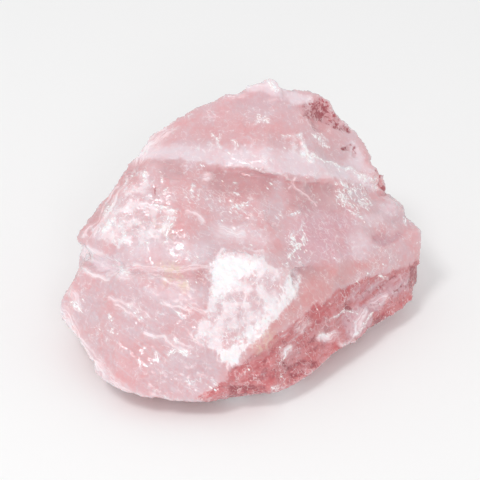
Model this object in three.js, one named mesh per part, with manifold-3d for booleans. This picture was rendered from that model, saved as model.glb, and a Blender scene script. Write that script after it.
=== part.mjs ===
// A rough chunk of rose quartz, broken from a larger mass and lying on its flattest side.
// Millimetres, +Z up, +X to the viewer's right and +Y away from the viewer.
// The origin is on the ground, in the middle of the chunk's bounding box.
//
// The chunk is one stone. It is built the way that it broke: a few slabs and lobes with flat
// fracture faces are joined, curved shell-shaped flakes and many small chips are knocked off, and
// the skin is made lumpy and stepped. All of this is one distance field, which is then covered
// with facets that keep its sharp edges, and the stone is cut flat where it rests.
import * as THREE from "three";
import { ConvexHull } from "three/addons/math/ConvexHull.js";
import { ImprovedNoise } from "three/addons/math/ImprovedNoise.js";
import { mergeVertices } from "three/addons/utils/BufferGeometryUtils.js";
import Module from "manifold-3d";

// Where the viewer stands: the distance and the height above the horizon from which the stone is
// seen, and the height of the point in the middle of the view.
const VIEW_DISTANCE = 400;
const VIEW_ELEVATION = THREE.MathUtils.degToRad(35);
const AIM_HEIGHT = 20;

// The skin: the size of its facets, the height and width of its lumps, and how far it stands out
// all over, to make up for what the chips take off.
const FACET_SIZE = 1.95;
const LUMP_HEIGHT = 0.6;
const LUMP_SIZE = 8;
const GROWTH = 0.1;

// The lower right wall is stepped: layers that rise a little towards the back stand out in turn.
const STEP_HEIGHT = 1.1;
const STEP_PITCH = 5.2;
const STEP_RISE = new THREE.Vector3(-0.1, -0.14, 1).normalize();
const STEP_WALL = new THREE.Vector3(0.64, -0.76, 0).normalize();
const STEP_REACH = [17, 21];

// Small chips: how many, and their least and greatest width and depth.
const CHIP_COUNT = 150;
const CHIP_WIDTH = [5, 13];
const CHIP_DEPTH = [0.25, 0.6];
const CHIP_TILT = 0.22;
const CHIP_SEED = 20;

const viewer = new THREE.Vector3(
  0,
  -VIEW_DISTANCE * Math.cos(VIEW_ELEVATION),
  AIM_HEIGHT + VIEW_DISTANCE * Math.sin(VIEW_ELEVATION),
);

// A corner that the viewer sees: mm to the right of the middle of the view, mm up the view, and
// how far back it lies along the ground. It is where the line of sight meets that depth.
function seen(right, up, back) {
  const inView = new THREE.Vector3(
    right,
    up * Math.sin(VIEW_ELEVATION),
    AIM_HEIGHT + up * Math.cos(VIEW_ELEVATION),
  );
  const sight = inView.sub(viewer);
  return viewer.clone().addScaledVector(sight, (back - viewer.y) / sight.y);
}

// A corner that the viewer doesn't see: mm to the right, back along the ground, and up.
const hidden = (x, y, z) => new THREE.Vector3(x, y, z);

// The lower body. Its first corners are under the ground, where the stone is cut flat. Then come
// the foot, a few millimetres up, the left tip, the long ridge and the back.
const UNDERGROUND = -4;
const LOWER_BODY = [
  hidden(-17, -10, UNDERGROUND),
  hidden(-12, -17, UNDERGROUND),
  hidden(-3, -18, UNDERGROUND),
  hidden(5, -16, UNDERGROUND),
  hidden(18, -2, UNDERGROUND),
  hidden(22, 6, UNDERGROUND),
  hidden(12, 17, UNDERGROUND),
  hidden(-4, 18, UNDERGROUND),
  hidden(-15, 12, UNDERGROUND),
  hidden(-20, 1, UNDERGROUND),
  seen(-33.4, -17.4, -14),
  seen(-30, -24, -21.8),
  seen(-28, -27, -25),
  seen(-25, -29.6, -28.8),
  seen(-20.6, -31.6, -31.5),
  seen(-12, -32.3, -32.2),
  seen(-6.5, -32.3, -31.9),
  seen(0.4, -31.2, -30.6),
  seen(7.8, -30.2, -29.1),
  seen(10.6, -27.5, -25.5),
  seen(14.8, -25.6, -22.2),
  seen(21.2, -21.2, -14.6),
  seen(27.4, -17.8, -9.3),
  seen(30.6, -15.2, -5),
  seen(33.4, -11.8, 0.5),
  seen(34.9, -9.2, 5),
  seen(-32, -6.4, -9),
  seen(-34, -9.6, -9.8),
  seen(-35.7, -13, -11),
  seen(-35.7, -15.4, -12),
  seen(-23, -7.2, -16),
  seen(-18, -7.6, -18.6),
  seen(-11, -7.4, -19),
  seen(-9, -13, -22.5),
  seen(-2.4, -25.6, -29),
  seen(4.4, -19, -24.5),
  seen(11.6, -11.6, -17),
  seen(21, -4.4, -6),
  seen(30, 0, 4),
  seen(36, 1.8, 9),
  seen(35.7, -2, 7.5),
  seen(35.2, -5, 6),
  hidden(33, 20, 8),
  hidden(20, 28, 6),
  hidden(-6, 29, 7),
  hidden(-24, 20, 8),
  hidden(-33, 2, 8),
  hidden(-30, 4, 16),
  hidden(28, 22, 15),
];

// The slab with the frosted face at the upper left. Its lower edge overhangs the notch at the far
// left and runs out into the front of the stone.
const LEFT_SLAB = [
  seen(-20.6, 16.6, 8),
  seen(-23.8, 12.8, 5),
  seen(-26.2, 9.4, 3),
  seen(-28, 6.6, 1.5),
  seen(-31, 3, -1),
  seen(-33.1, 0.2, -3),
  seen(-31.6, -2.2, -4.5),
  seen(-17.6, 15.2, 4),
  seen(-23, 8, -2),
  seen(-27.4, 1.6, -6),
  seen(-23, -4.6, -13),
  seen(-18, -6.4, -16.6),
  seen(-10, -6.4, -17.5),
  seen(-5, -4, -14),
  seen(-12, 7, -5),
  seen(-4, 14.4, 5),
  hidden(-24, 12, 18),
  hidden(-18, 18, 28),
  hidden(0, 10, 12),
  hidden(-4, -14, 8),
];

// The middle of the stone, under the lip of the top slab and down to the long ridge.
const MIDDLE = [
  seen(-19.4, 15.2, 7.5),
  seen(-8, 14.6, 5.6),
  seen(4, 13.4, 4.6),
  seen(12, 11.8, 6),
  seen(21, 10.8, 10.5),
  seen(27, 9.4, 14),
  seen(30.8, 7, 16),
  seen(33, 5.2, 14),
  seen(34.6, 3.2, 11),
  seen(-9, 3, -8),
  seen(-3.6, -2.4, -12.4),
  seen(4.4, -2, -12.4),
  seen(12, -6.4, -13.9),
  seen(21, -4.2, -6.2),
  seen(30, 0.2, 3.8),
  hidden(31, 22, 14),
  hidden(24, 27, 18),
  hidden(0, 27, 26),
  hidden(-18, 20, 24),
  hidden(-12, -10, 14),
];

// The slab with the bright frosted face at the front.
const FRONT_SLAB = [
  seen(-5.4, -4.4, -14.8),
  seen(-3.6, -2.2, -13.4),
  seen(4.4, -1.8, -13.3),
  seen(12, -6.2, -14.6),
  seen(11.8, -11.4, -17.6),
  seen(4.6, -18.8, -24.7),
  seen(-2.4, -25.8, -29.2),
  seen(-6, -21, -26.8),
  seen(-5.4, -12, -20.8),
  hidden(-4, -20, 6),
  hidden(6, -14, 8),
  hidden(-1, -7, 21),
];

// The top slab, whose front edge is a lip across the whole stone.
const TOP_SLAB = [
  seen(-20.2, 16.2, 7.4),
  seen(-18.4, 15.6, 5.4),
  seen(-8, 14.8, 3.8),
  seen(4, 13.6, 2.8),
  seen(12, 12, 4.2),
  seen(21, 11, 8.8),
  seen(26.6, 9.6, 12.4),
  seen(-19, 18.6, 10.5),
  seen(-17.6, 21.2, 13),
  seen(-14.2, 23.6, 16),
  seen(-10.5, 25.6, 18),
  seen(-7, 27.4, 19),
  seen(-2, 29.2, 20),
  seen(8.2, 30.2, 21),
  seen(12, 29.8, 22),
  seen(16, 29.2, 23),
  seen(17.6, 28.4, 23),
  seen(19.6, 25.6, 22.5),
  seen(22.2, 22.6, 22),
  seen(24.8, 19.8, 21),
  seen(26.4, 16.6, 20),
  seen(27, 14, 18.5),
  hidden(-17, 18, 30),
  hidden(-4, 26, 32),
  hidden(14, 29, 30),
  hidden(24, 27, 22),
  hidden(0, 12, 24),
  hidden(14, 14, 20),
];

// The back of the stone, from under the summit down to the foot.
const BACK = [
  hidden(-18.5, 16, 31),
  hidden(-9, 22, 36),
  hidden(9, 25, 38),
  hidden(20, 26, 27),
  hidden(29, 22, 17),
  hidden(33.5, 18, 9),
  hidden(21, 30, 13),
  hidden(-1, 31, 11),
  hidden(-21, 24, 15),
  hidden(-31, 12, 18),
  hidden(-33, 2, 12),
  hidden(-26, 4, 24),
  hidden(-21, 17, 4),
  hidden(24, 24, 4),
  hidden(4, 27, UNDERGROUND),
  hidden(17, 24, UNDERGROUND),
  hidden(27, 12, UNDERGROUND),
  hidden(0, -4, 12),
];

// The low crest at the summit.
const CREST = [
  seen(-3, 28.9, 19.5),
  seen(0.6, 31, 19.2),
  seen(3.6, 32.6, 19),
  seen(5.8, 33, 19.5),
  seen(7.8, 32, 19.5),
  seen(8.6, 29.6, 18.6),
  seen(7, 27.2, 18.6),
  seen(-1, 27.2, 18.6),
  hidden(6, 25, 38),
  hidden(-2, 24, 34),
  hidden(8, 20, 34),
];

// Two stubs of darker stone that stick out of the right side.
const SIDE_STUB = [
  seen(26, 14, 17),
  seen(27.6, 13.4, 17),
  seen(29, 11.2, 17),
  seen(29.7, 9.4, 16.5),
  seen(28, 8, 14),
  hidden(24, 24, 18),
  hidden(22, 16, 22),
];
const CORNER_STUB = [
  seen(34.8, -4.6, 6.5),
  seen(35.8, -6.6, 6.8),
  seen(35.9, -8.8, 6.5),
  seen(34.2, -10, 5),
  seen(31, -8, 4),
  hidden(30, 14, 6),
];

// The shell-shaped flakes that have come off: the line that each was struck along, from a point
// outside to a point in the stone, and its width and depth.
const FLAKES = [
  // The smooth hollow at the upper right, with a bright rim.
  { line: [hidden(70, -20, 110), seen(19.5, 18, 16)], width: 17, depth: 1.6 },
  // The broad face under the lip, and the one to the right of it.
  { line: [viewer, seen(-1, 4, 0)], width: 17, depth: 1 },
  { line: [viewer, seen(16, 3, 0)], width: 14, depth: 0.6 },
  // The frosted faces at the front and on the left.
  { line: [viewer, seen(2, -9.5, -15)], width: 10, depth: 0.4 },
  { line: [viewer, seen(-20, 3, -5)], width: 11, depth: 0.5 },
  // The lower left face.
  { line: [viewer, seen(-20, -18, -22)], width: 16, depth: 0.6 },
  { line: [viewer, seen(-7, -26, -28)], width: 9, depth: 0.6 },
  // The top.
  { line: [hidden(-20, -60, 140), seen(-5, 21, 12)], width: 13, depth: 0.5 },
  // The lower right wall.
  { line: [hidden(80, -90, 20), seen(14, -19, -18)], width: 11, depth: 0.8 },
  { line: [hidden(90, -70, 20), seen(26, -9, -2)], width: 11, depth: 0.8 },
  // The undercut foot.
  { line: [hidden(-80, -60, -30), hidden(-18, -14, 3)], width: 14, depth: 1.5 },
  { line: [hidden(-20, -90, -30), hidden(-6, -18, 3)], width: 12, depth: 1.2 },
  { line: [hidden(60, -90, -30), hidden(14, -8, 3)], width: 14, depth: 1.4 },
  { line: [hidden(90, -10, -20), hidden(24, 8, 3)], width: 12, depth: 1.2 },
  // The sides and the back.
  { line: [hidden(-90, 30, 40), hidden(-20, 8, 18)], width: 15, depth: 1.2 },
  { line: [hidden(-60, 80, 60), hidden(-10, 18, 22)], width: 18, depth: 1.7 },
  { line: [hidden(10, 90, 30), hidden(6, 20, 18)], width: 19, depth: 1.6 },
  { line: [hidden(70, 60, 40), hidden(20, 18, 18)], width: 13, depth: 1 },
];

// The pits, which are deeper and rough inside.
const PITS = [
  { line: [hidden(60, -40, 110), seen(16, 23.5, 20)], width: 7, depth: 2.2 },
  { line: [hidden(60, -40, 110), seen(20.4, 21, 18)], width: 4, depth: 1.4 },
  { line: [hidden(60, -40, 110), seen(22.8, 17.4, 15)], width: 3.6, depth: 1.1 },
];

// A distance field is a function of a point: less than nothing inside, about the distance to the
// skin near it. A lobe is the hull of its corners.
function lobe(corners) {
  const planes = new ConvexHull()
    .setFromPoints(corners)
    .faces.map((face) => new THREE.Plane(face.normal, -face.constant));
  return (p) => Math.max(...planes.map((plane) => plane.distanceToPoint(p)));
}

const ball = (centre, radius) => (p) => p.distanceTo(centre) - radius;
const joined = (fields) => (p) => Math.min(...fields.map((field) => field(p)));

// The field with hollows cut into it. How far a hollow goes also depends on the field's own value.
const without = (field, hollows) => (p) => {
  const d = field(p);
  return Math.max(d, ...hollows.map((hollow) => -hollow(p, d)));
};

// The way that a field grows at a point, which is the way that its skin faces there.
const SLOPE_STEP = 0.05;
function facing(field, p) {
  const rise = (x, y, z) =>
    field(new THREE.Vector3(p.x + x, p.y + y, p.z + z)) -
    field(new THREE.Vector3(p.x - x, p.y - y, p.z - z));
  return new THREE.Vector3(
    rise(SLOPE_STEP, 0, 0),
    rise(0, SLOPE_STEP, 0),
    rise(0, 0, SLOPE_STEP),
  ).normalize();
}

// Where a line first meets the skin.
const NEAR_ENOUGH = 0.01;
function meets(field, from, along) {
  const p = from.clone();
  for (let d = field(p); d > NEAR_ENOUGH; d = field(p)) p.addScaledVector(along, 0.8 * d);
  return p;
}

// The hollow of a flake. It is centred where the line meets the skin, and faces the way that the
// skin does on the whole, there and at six points round it.
function flake(field, { line: [from, to], width, depth }) {
  const along = to.clone().sub(from).normalize();
  const middle = meets(field, from, along);
  const out = facing(field, middle);
  for (let i = 0; i < 6; i++) {
    const side = new THREE.Vector3(0, 0, 1).cross(along).setLength(width / 3);
    side.applyAxisAngle(along, (i * Math.PI) / 3);
    out.add(facing(field, meets(field, side.add(from), along)));
  }
  return scoop(middle, out.normalize(), width / 2, depth);
}

// The hollow that a ball leaves where it crosses a plane in a circle of the given reach and goes
// the given depth under it. It goes hardly deeper than that under the skin of the field, so it
// leaves no slots where the skin is not flat.
const SCOOP_ROOM = 1.05;
const DEEPEST = 1.25;
function scoop(middle, out, reach, depth) {
  const radius = (reach ** 2 + depth ** 2) / (2 * depth);
  const dish = ball(middle.clone().addScaledVector(out, radius - depth), radius);
  const round = ball(middle, SCOOP_ROOM * reach);
  return (p, d) => Math.max(dish(p), round(p), -d - DEEPEST * depth);
}

// A number from 0 to 1 that differs at each call and is the same in each run.
function seeded(seed) {
  let state = seed;
  return () => {
    state = (Math.imul(state, 1664525) + 1013904223) >>> 0;
    return state / 2 ** 32;
  };
}

// The hollows of small chips, all round the stone.
const MIDDLE_OF_STONE = new THREE.Vector3(1, 0, 14);
const OUTSIDE = 90;
function chips(field) {
  const random = seeded(CHIP_SEED);
  const between = ([low, high]) => low + (high - low) * random();
  const anyWay = () =>
    new THREE.Vector3().setFromSphericalCoords(
      1,
      Math.acos(between([-1, 1])),
      between([0, 2 * Math.PI]),
    );
  return Array.from({ length: CHIP_COUNT }, () => {
    const away = anyWay();
    const from = MIDDLE_OF_STONE.clone().addScaledVector(away, OUTSIDE);
    const middle = meets(field, from, away.negate());
    const out = facing(field, middle).addScaledVector(anyWay(), CHIP_TILT * random()).normalize();
    return scoop(middle, out, between(CHIP_WIDTH) / 2, between(CHIP_DEPTH));
  });
}

// How far the skin stands out at a point: lumps, and the steps of the lower right wall.
const noise = new ImprovedNoise();
const NOISE_SHIFT = 40.5; // keeps the noise away from its mirror planes
const noiseAt = (p, size) =>
  noise.noise(p.x / size + NOISE_SHIFT, p.y / size + NOISE_SHIFT, p.z / size + NOISE_SHIFT);
function standsOut(p) {
  const lumps = LUMP_HEIGHT * noiseAt(p, LUMP_SIZE);
  const layer = p.dot(STEP_RISE) / STEP_PITCH + 0.5 * noiseAt(p, 2 * LUMP_SIZE);
  const step = STEP_HEIGHT * (0.5 - (layer - Math.floor(layer)));
  return lumps + step * THREE.MathUtils.smoothstep(p.dot(STEP_WALL), ...STEP_REACH);
}

// Covers the skin of a field with facets. Each cell of a grid that the skin passes through gets
// one vertex, which is drawn to the planes of the skin where it crosses the cell's edges, so that
// it lands on a sharp edge or corner if the cell holds one.
const DRAWS = 25;
function facets(field, low, high, size) {
  const counts = high.clone().sub(low).divideScalar(size).ceil().toArray();
  const [nx, ny, nz] = counts.map((n) => n + 1);
  const idOf = (i, j, k) => i + nx * (j + ny * k);
  const pointOf = (i, j, k) => new THREE.Vector3(i, j, k).multiplyScalar(size).add(low);
  const depths = new Float64Array(nx * ny * nz);
  for (let k = 0; k < nz; k++)
    for (let j = 0; j < ny; j++)
      for (let i = 0; i < nx; i++) depths[idOf(i, j, k)] = field(pointOf(i, j, k));
  fillPinches(depths, [1, nx, nx * ny]);
  const depthAt = (i, j, k) => depths[idOf(i, j, k)];
  const cells = new Map();
  const quads = [];
  // Each grid edge that the skin crosses gives one quad, between the four cells round it.
  for (let k = 1; k < counts[2]; k++)
    for (let j = 1; j < counts[1]; j++)
      for (let i = 1; i < counts[0]; i++)
        for (let axis = 0; axis < 3; axis++) {
          const step = [0, 1, 2].map((n) => (n === axis ? 1 : 0));
          const here = depthAt(i, j, k);
          const there = depthAt(i + step[0], j + step[1], k + step[2]);
          if (here < 0 === there < 0) continue;
          const end = pointOf(i + step[0], j + step[1], k + step[2]);
          const crossing = pointOf(i, j, k).lerp(end, here / (here - there));
          const out = facing(field, crossing);
          const [u, v] = [(axis + 1) % 3, (axis + 2) % 3];
          const round = [[0, 0], [1, 0], [1, 1], [0, 1]].map(([du, dv]) => {
            const cell = [i, j, k];
            cell[u] -= du;
            cell[v] -= dv;
            const id = idOf(...cell);
            if (!cells.has(id)) cells.set(id, { at: cells.size, corner: pointOf(...cell), pulls: [] });
            cells.get(id).pulls.push({ crossing, out });
            return cells.get(id).at;
          });
          quads.push(here < 0 ? round : round.reverse());
        }
  const vertices = [...cells.values()].map(({ corner, pulls }) => drawn(corner, pulls, size));
  const faces = quads.flatMap(([a, b, c, d]) =>
    vertices[a].distanceTo(vertices[c]) < vertices[b].distanceTo(vertices[d])
      ? [a, b, c, a, c, d]
      : [a, b, d, b, c, d],
  );
  return new THREE.BufferGeometry().setFromPoints(vertices).setIndex(faces);
}

// Where the stone holds only two corners of a grid square, and they are across from each other,
// the skin would meet itself between them. One of the two other corners is filled in.
const JUST_INSIDE = -0.1;
function fillPinches(depths, [x, y, z]) {
  const squares = [[x, y], [y, z], [z, x]];
  const holds = (id) => depths[id] < 0;
  for (let filled = true; filled; ) {
    filled = false;
    for (let id = 0; id < depths.length - x - y - z; id++)
      for (const [u, v] of squares) {
        if (holds(id) === holds(id + u) || holds(id) !== holds(id + u + v)) continue;
        if (holds(id + u) !== holds(id + v)) continue;
        depths[holds(id) ? id + u : id] = JUST_INSIDE;
        filled = true;
      }
  }
}

// The vertex of one cell. It stays inside its cell.
function drawn(corner, pulls, size) {
  const p = new THREE.Vector3();
  for (const { crossing } of pulls) p.addScaledVector(crossing, 1 / pulls.length);
  for (let n = 0; n < DRAWS; n++) {
    const move = new THREE.Vector3();
    for (const { crossing, out } of pulls)
      move.addScaledVector(out, out.dot(crossing.clone().sub(p)) / pulls.length);
    p.add(move);
  }
  return p.clamp(corner, corner.clone().addScalar(size));
}

// A closed geometry as a solid that can be cut.
const wasm = await Module();
wasm.setup();
function solid(geometry) {
  const bare = new THREE.BufferGeometry()
    .setAttribute("position", geometry.getAttribute("position"))
    .setIndex(geometry.index);
  const merged = mergeVertices(bare, 1e-4);
  return new wasm.Manifold(
    new wasm.Mesh({
      numProp: 3,
      vertProperties: merged.attributes.position.array,
      triVerts: new Uint32Array(merged.index.array),
    }),
  );
}

// The whole stone, before and after the flakes and chips came off.
const LOBES = [LOWER_BODY, LEFT_SLAB, MIDDLE, FRONT_SLAB, TOP_SLAB, BACK, CREST];
const STUBS = [SIDE_STUB, CORNER_STUB];
const unbroken = joined([...LOBES, ...STUBS].map(lobe));
const struck = [...FLAKES, ...PITS].map((spec) => flake(unbroken, spec));
const broken = without(unbroken, struck.concat(chips(unbroken)));
const skin = (p) => broken(p) - GROWTH - standsOut(p);

// The box that the facets are made in, which goes a little under the ground.
const ROOM_LOW = new THREE.Vector3(-42, -38, -8);
const ROOM_HIGH = new THREE.Vector3(42, 38, 50);
const rough = facets(skin, ROOM_LOW, ROOM_HIGH, FACET_SIZE);

// The ground, with its top at zero.
const GROUND_WIDTH = 200;
const GROUND_DEPTH = 20;
const ground = new THREE.BoxGeometry(GROUND_WIDTH, GROUND_WIDTH, GROUND_DEPTH).translate(
  0,
  0,
  -GROUND_DEPTH / 2,
);
const cut = solid(rough).subtract(solid(ground)).getMesh();

const geometry = new THREE.BufferGeometry()
  .setAttribute("position", new THREE.BufferAttribute(cut.vertProperties, 3))
  .setIndex([...cut.triVerts]);
geometry.computeBoundingBox();
const middle = geometry.boundingBox.getCenter(new THREE.Vector3());
geometry.translate(-middle.x, -middle.y, 0);
geometry.computeVertexNormals();

const roseQuartz = new THREE.MeshStandardMaterial({
  name: "rose_quartz",
  color: 0xe4c4c8,
  roughness: 0.35,
  metalness: 0,
});
const stone = new THREE.Mesh(geometry, roseQuartz);
stone.name = "rose_quartz_chunk";

const group = new THREE.Group();
group.add(stone);
export default group;
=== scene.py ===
import math

import bmesh
import bpy
import numpy as np
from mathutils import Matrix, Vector
from mathutils.kdtree import KDTree


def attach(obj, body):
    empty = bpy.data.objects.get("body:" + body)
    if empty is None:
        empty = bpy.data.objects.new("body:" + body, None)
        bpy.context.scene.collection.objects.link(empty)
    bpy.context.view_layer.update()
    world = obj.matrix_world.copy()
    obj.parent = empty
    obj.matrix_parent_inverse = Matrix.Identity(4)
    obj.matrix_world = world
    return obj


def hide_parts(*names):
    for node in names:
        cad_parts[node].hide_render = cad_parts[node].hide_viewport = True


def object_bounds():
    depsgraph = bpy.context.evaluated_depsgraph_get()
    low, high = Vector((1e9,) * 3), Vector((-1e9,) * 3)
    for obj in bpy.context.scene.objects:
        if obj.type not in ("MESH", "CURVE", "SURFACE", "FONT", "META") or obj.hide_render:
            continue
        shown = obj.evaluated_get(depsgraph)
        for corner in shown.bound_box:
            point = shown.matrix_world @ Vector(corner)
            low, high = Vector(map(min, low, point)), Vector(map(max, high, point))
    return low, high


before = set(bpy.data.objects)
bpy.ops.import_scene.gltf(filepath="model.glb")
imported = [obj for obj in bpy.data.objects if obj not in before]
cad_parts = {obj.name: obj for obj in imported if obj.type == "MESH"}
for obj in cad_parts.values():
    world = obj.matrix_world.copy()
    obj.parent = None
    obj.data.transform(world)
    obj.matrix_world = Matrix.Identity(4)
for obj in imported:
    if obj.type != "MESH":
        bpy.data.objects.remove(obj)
CAD_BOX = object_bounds()
MM = 0.001

# The photograph's view: the distance and the height above the horizon that the chunk is seen
# from, and the point in the middle of the view.
VIEW_DISTANCE = 400 * MM
VIEW_ELEVATION = math.radians(35)
AIM = np.array([-0.8, 0.65, 20]) * MM
LENS = 150
SENSOR = 36
CLIP_START = 10 * MM

TO_VIEWER = np.array([0, -math.cos(VIEW_ELEVATION), math.sin(VIEW_ELEVATION)])
VIEW_UP = np.array([0, math.sin(VIEW_ELEVATION), math.cos(VIEW_ELEVATION)])
VIEWER = AIM + VIEW_DISTANCE * TO_VIEWER

# The skin has faces of this size, and its random shapes come from this seed. Away from the
# viewer the faces are larger, so that there are no more triangles than this before those of
# the flat base are joined.
VOXEL = 0.31 * MM
MOST_TRIANGLES = 230000
SEED = 5

# The soft edge of a stroke in the view, and how far apart the patterns of two strokes are, in mm.
STROKE_SOFT = 0.4
STROKE_APART = 20

# The dishes that chips leave in the skin, in shares of their width: how much higher one may
# start than another, how steep they are, and how much they curve.
DISH_LIFT = 0.4
DISH_TILT = 0.55
DISH_CURVE = 0.8

# How wide the wide, middling and small chip scars are, in mm.
WIDE_SCARS = 6
MID_SCARS = 2.6
SMALL_SCARS = 1.1

# How far the other parts of the relief stand out or go in, in mm: the ledges of the wall and
# the distance between them, the streaks, the chips off sharp edges, the jagged outline, the
# swell at its right, the white flecks and the pits. The last is how much narrow grooves are
# filled, in shares of their depth.
LEDGE_HEIGHT = 0.22
LEDGE_SPACING = 1.9
STREAK_HEIGHT = 0.1
EDGE_CHIPS = 0.5
RIM_JAGS = 0.24
SIDE_SWELL = 1.3
FLECK_HEIGHT = 0.15
PIT_DEPTH = 0.5
GROOVE_FILL = 1.5

# The ways that streaks run: down the lower left face, along the ridge, and straight up. The
# last is the way up the wall in the view, square to its ledges.
FALL_LINE = (0.78, -0.55, -0.3)
RIDGE_WAY = (0.71, 0.69, 0.12)
UPRIGHT = (0, 0, 1)
ACROSS_LEDGES = (-0.58, 0.815)

# The quartz bends light by this index. This share of it scatters light below the skin, this
# deep in mm, with red going deeper than green and blue.
QUARTZ_IOR = 1.54
SCATTER_SHARE = 0.75
SCATTER_DEPTH = 5
SCATTER_BY_COLOUR = (1.0, 0.6, 0.55)

# The floor's width in metres and its colour, the strength of the light from all round, and the
# soft square lights: place and size in mm, and power.
FLOOR_WIDTH = 6
FLOOR_GREY = (0.95, 0.95, 0.95, 1)
SKY_STRENGTH = 0.72
SOFTBOXES = {
    "key": ((-260, -300, 680), 180, 1.5),
    "left": ((-640, -320, 160), 200, 0.08),
    "front": ((90, -620, 400), 200, 0.66),
}


# Noise and soft steps

def smoothstep(values, low, high):
    """0 up to low, 1 from high on, and smooth between them. low may be the greater."""
    share = np.clip((values - low) / (high - low), 0, 1)
    return share * share * (3 - 2 * share)


def lattice_noise(points, size, seed):
    """Smooth noise from about -1 to 1 at points in mm. size is the size of its lumps."""
    rng = np.random.default_rng(seed)
    slopes = rng.normal(size=(256, 3))
    slopes /= np.linalg.norm(slopes, axis=1)[:, None]
    shuffled = rng.permutation(256)
    scaled = points / size + 100
    cell = np.floor(scaled).astype(int)
    inside = scaled - cell
    fade = inside ** 3 * (inside * (inside * 6 - 15) + 10)
    total = np.zeros(len(points))
    for corner in np.ndindex(2, 2, 2):
        at = cell + corner
        slot = shuffled[(shuffled[(shuffled[at[:, 0] % 256] + at[:, 1]) % 256] + at[:, 2]) % 256]
        weight = np.prod(np.where(np.array(corner) == 1, fade, 1 - fade), axis=1)
        total += weight * np.einsum("ij,ij->i", slopes[slot], inside - corner)
    return 1.6 * total


def cloud(points, size, seed, layers=3):
    """Noise with finer and fainter layers."""
    total = np.zeros(len(points))
    for layer in range(layers):
        share = 0.5 ** layer
        total += share * lattice_noise(points, size * share, seed + layer)
    return total


def drawn_out(points, way, ratio):
    """Points squeezed along a way, so that noise at them makes streaks that run that way and
    are ratio times as long as wide."""
    way = np.array(way)
    return points - np.outer(points @ way, way) * (1 - 1 / ratio)


# The mesh

def read_vectors(collection, name):
    """The vectors of this name that the parts of a mesh have, one row for each."""
    values = np.empty(3 * len(collection), np.float32)
    collection.foreach_get(name, values)
    return values.reshape(-1, 3).astype(float)


def even_copy(node):
    """A new object with the node's form and small even faces."""
    coarse = bpy.data.objects.new("even_copy", node.data.copy())
    bpy.context.scene.collection.objects.link(coarse)
    weld = coarse.modifiers.new("weld", "WELD")
    weld.merge_threshold = 0.001 * MM
    remesh = coarse.modifiers.new("remesh", "REMESH")
    remesh.mode = "VOXEL"
    remesh.voxel_size = VOXEL
    graph = bpy.context.evaluated_depsgraph_get()
    mesh = bpy.data.meshes.new_from_object(coarse.evaluated_get(graph))
    bpy.data.objects.remove(coarse)
    mesh.materials.clear()
    piece = bpy.data.objects.new("rose_quartz_surface", mesh)
    bpy.context.scene.collection.objects.link(piece)
    return piece


def merge_base(mesh):
    """Joins the many small faces of the flat base into a few large ones."""
    work = bmesh.new()
    work.from_mesh(mesh)
    base = [face for face in work.faces if all(vertex.co.z < 0.001 * MM for vertex in face.verts)]
    joined = bmesh.ops.dissolve_faces(work, faces=base, use_verts=False)["region"]
    bmesh.ops.triangulate(work, faces=joined)
    work.to_mesh(mesh)
    work.free()


def thin_out(piece, chosen):
    """Makes the faces larger at the chosen vertices, until the piece has few enough triangles."""
    mesh = piece.data
    triangles = len(mesh.loops) - 2 * len(mesh.polygons)
    group = piece.vertex_groups.new(name="thinned")
    group.add(np.flatnonzero(chosen).tolist(), 1, "REPLACE")
    thin = piece.modifiers.new("thin", "DECIMATE")
    thin.ratio = MOST_TRIANGLES / triangles
    thin.vertex_group = group.name
    graph = bpy.context.evaluated_depsgraph_get()
    piece.data = bpy.data.meshes.new_from_object(piece.evaluated_get(graph))
    piece.modifiers.clear()
    piece.vertex_groups.clear()


class Skin:
    """The vertices of a mesh, in mm, with the normals and the neighbours."""

    def __init__(self, mesh):
        self.points = read_vectors(mesh.vertices, "co") / MM
        self.normals = read_vectors(mesh.vertex_normals, "vector")
        ends = np.empty(2 * len(mesh.edges), np.int32)
        mesh.edges.foreach_get("vertices", ends)
        self.ends = ends.reshape(-1, 2)
        self.neighbours = np.bincount(self.ends.ravel(), minlength=len(self.points))

    def spread(self, values, times):
        """Each value becomes the mean of its neighbours' values and its own, some times over."""
        if values.ndim > 1:
            return np.stack([self.spread(column, times) for column in values.T], axis=1)
        a, b = self.ends.T
        for _ in range(times):
            total = np.bincount(a, values[b], len(values)) + np.bincount(b, values[a], len(values))
            values = (values + total) / (1 + self.neighbours)
        return values

    def bulge(self, times, points=None):
        """How far each point stands out from the skin round it, in mm."""
        points = self.points if points is None else points
        return np.einsum("ij,ij->i", points - self.spread(points, times), self.normals)

    def in_view(self):
        """Where the viewer sees each point, in mm right of and above the middle of the view."""
        from_viewer = self.points - VIEWER / MM
        share = VIEW_DISTANCE / MM / -(from_viewer @ TO_VIEWER)
        return np.stack([from_viewer[:, 0] * share, from_viewer @ VIEW_UP * share], axis=1)


# Shapes in the view

def beyond_edge(places, corners):
    """How far each place in the view lies outside an outline, in mm, and less than 0 inside."""
    corners = np.array(corners, float)
    nearest = np.full(len(places), np.inf)
    crossings = np.zeros(len(places), bool)
    for start, end in zip(corners, np.roll(corners, -1, axis=0)):
        nearest = np.minimum(nearest, from_segment(places, start, end))
        rises = (start[1] > places[:, 1]) != (end[1] > places[:, 1])
        with np.errstate(divide="ignore", invalid="ignore"):
            meets = start[0] + (places[:, 1] - start[1]) / (end[1] - start[1]) * (end[0] - start[0])
        crossings ^= rises & (places[:, 0] < meets)
    return np.where(crossings, -nearest, nearest)


def from_segment(places, start, end):
    """How far each place lies from a straight stretch."""
    along = end - start
    share = np.clip((places - start) @ along / (along @ along), 0, 1)
    return np.linalg.norm(places - start - share[:, None] * along, axis=1)


def patch(places, corners, soft):
    """1 well inside an outline, 0 outside, with an edge as wide as soft."""
    return smoothstep(beyond_edge(places, corners), soft / 2, -soft / 2)


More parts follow.
